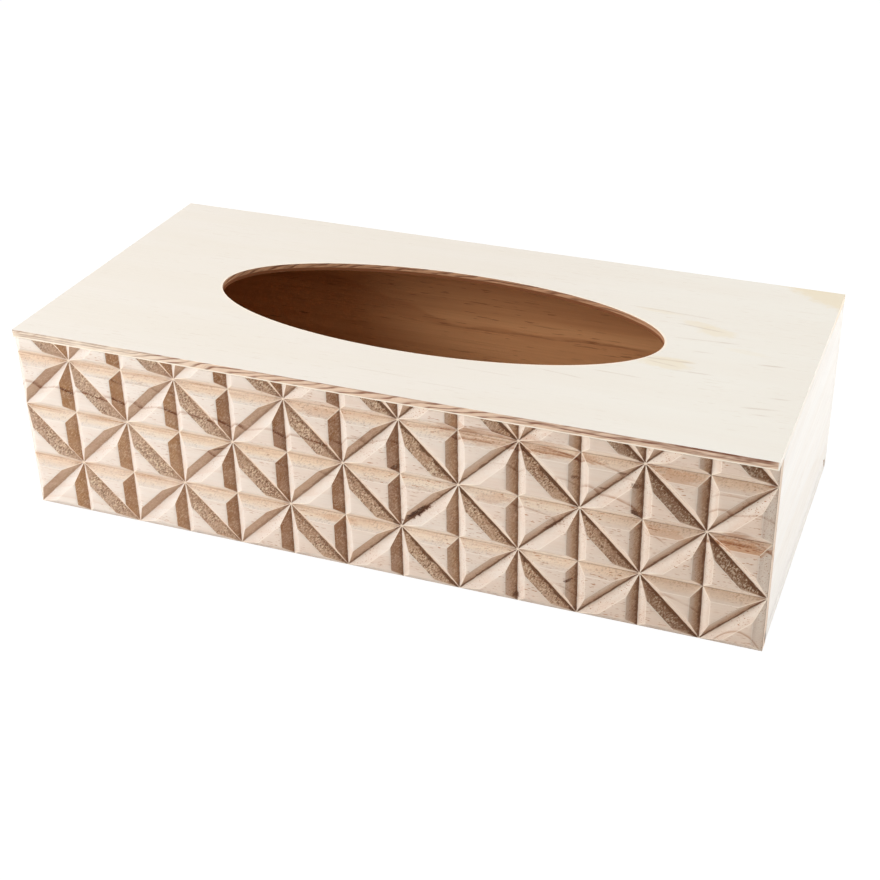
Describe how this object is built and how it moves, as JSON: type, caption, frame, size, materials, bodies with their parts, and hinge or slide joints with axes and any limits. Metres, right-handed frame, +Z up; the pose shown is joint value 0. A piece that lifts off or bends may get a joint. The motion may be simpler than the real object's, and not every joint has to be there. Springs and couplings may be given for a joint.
{
  "type": "tissue box cover",
  "caption": "Wooden tissue box cover with a V-carved front panel, an oval slot in its plywood top and a base that slides out at one end.",
  "frame": {"origin": "middle of the footprint, at the height of the surface the cover stands on", "axes": "+X to the right along the carved front, towards the end where the base slides out; +Y from the carved front to the back; +Z up"},
  "size_m": [0.273, 0.127, 0.0732],
  "materials": {
    "carved_pine": "unfinished pine, V-carved, slightly torn grain in the cuts",
    "pine": "unfinished planed pine",
    "plywood": "unfinished sanded plywood with bare edges"
  },
  "bodies": {
    "cover": {"top_panel": "plywood", "front_panel": "carved_pine", "back_panel": "pine", "left_wall": "pine", "right_wall": "pine"},
    "base": {"sliding_base": "plywood", "base_end_strip": "pine"}
  },
  "joints": [
    {"name": "base_slide", "type": "slide", "parent": "cover", "child": "base", "axis": [1, 0, 0], "range_m": [0, 0.25]}
  ]
}
